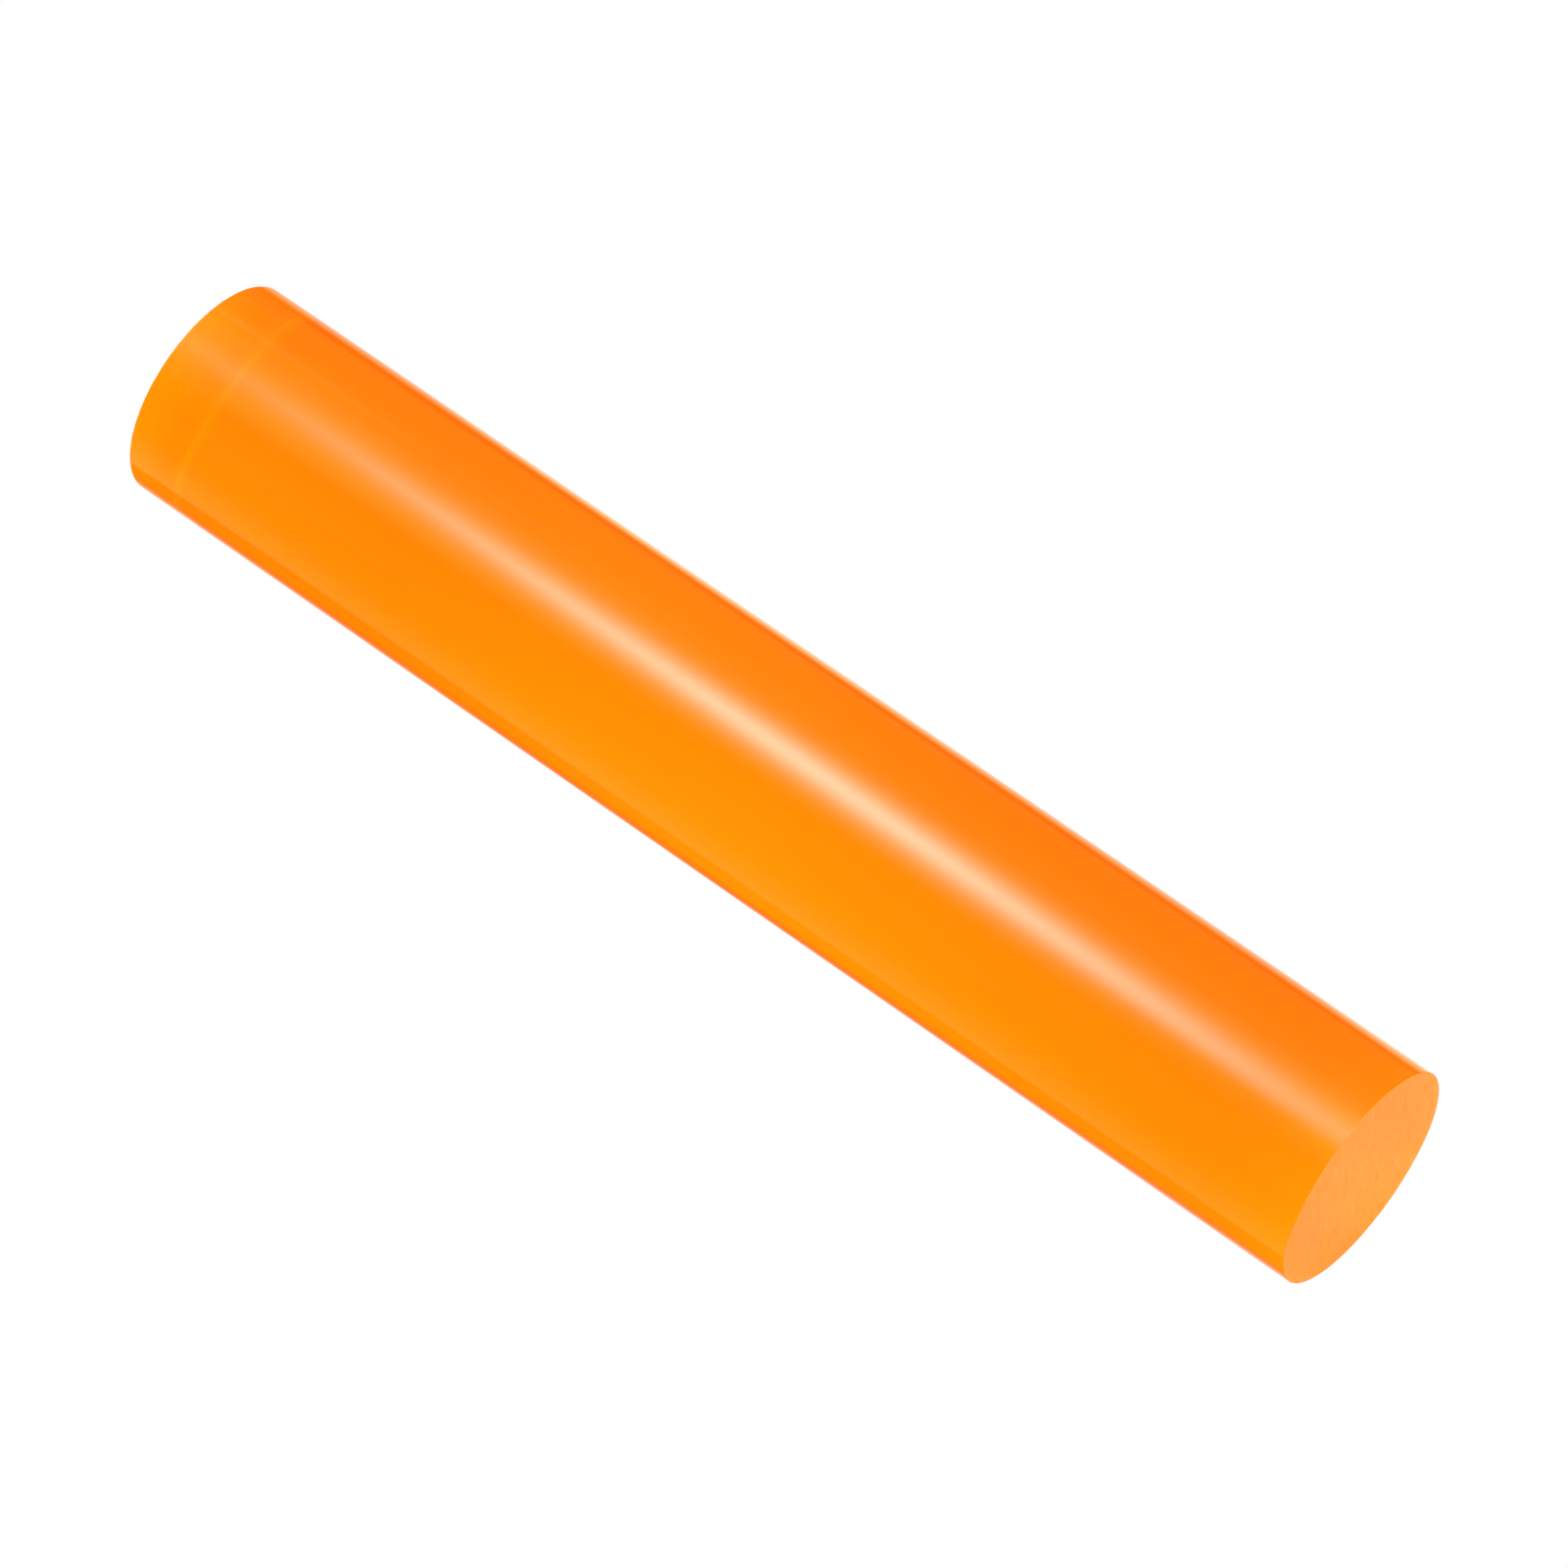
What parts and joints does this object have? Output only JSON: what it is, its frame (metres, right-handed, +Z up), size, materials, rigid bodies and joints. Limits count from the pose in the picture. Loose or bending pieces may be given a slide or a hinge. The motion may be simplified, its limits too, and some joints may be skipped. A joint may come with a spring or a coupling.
{
  "type": "acrylic round rod",
  "caption": "Solid round rod of transparent fluorescent-orange acrylic with a smooth glossy barrel and square, matt, saw-cut ends; a short stick for marking or aiming.",
  "frame": {"origin": "on the rod's axis, half way along it; the ground it lies on is 12.5 mm below", "axes": "+X along the rod's axis, +Z up as it lies on the ground, +Y across it; the rod is the same from every side and from both ends"},
  "size_m": [0.1524, 0.025, 0.025],
  "materials": {
    "orange_acrylic": "gloss"
  },
  "bodies": {
    "root": {"rod": "orange_acrylic"}
  },
  "joints": []
}
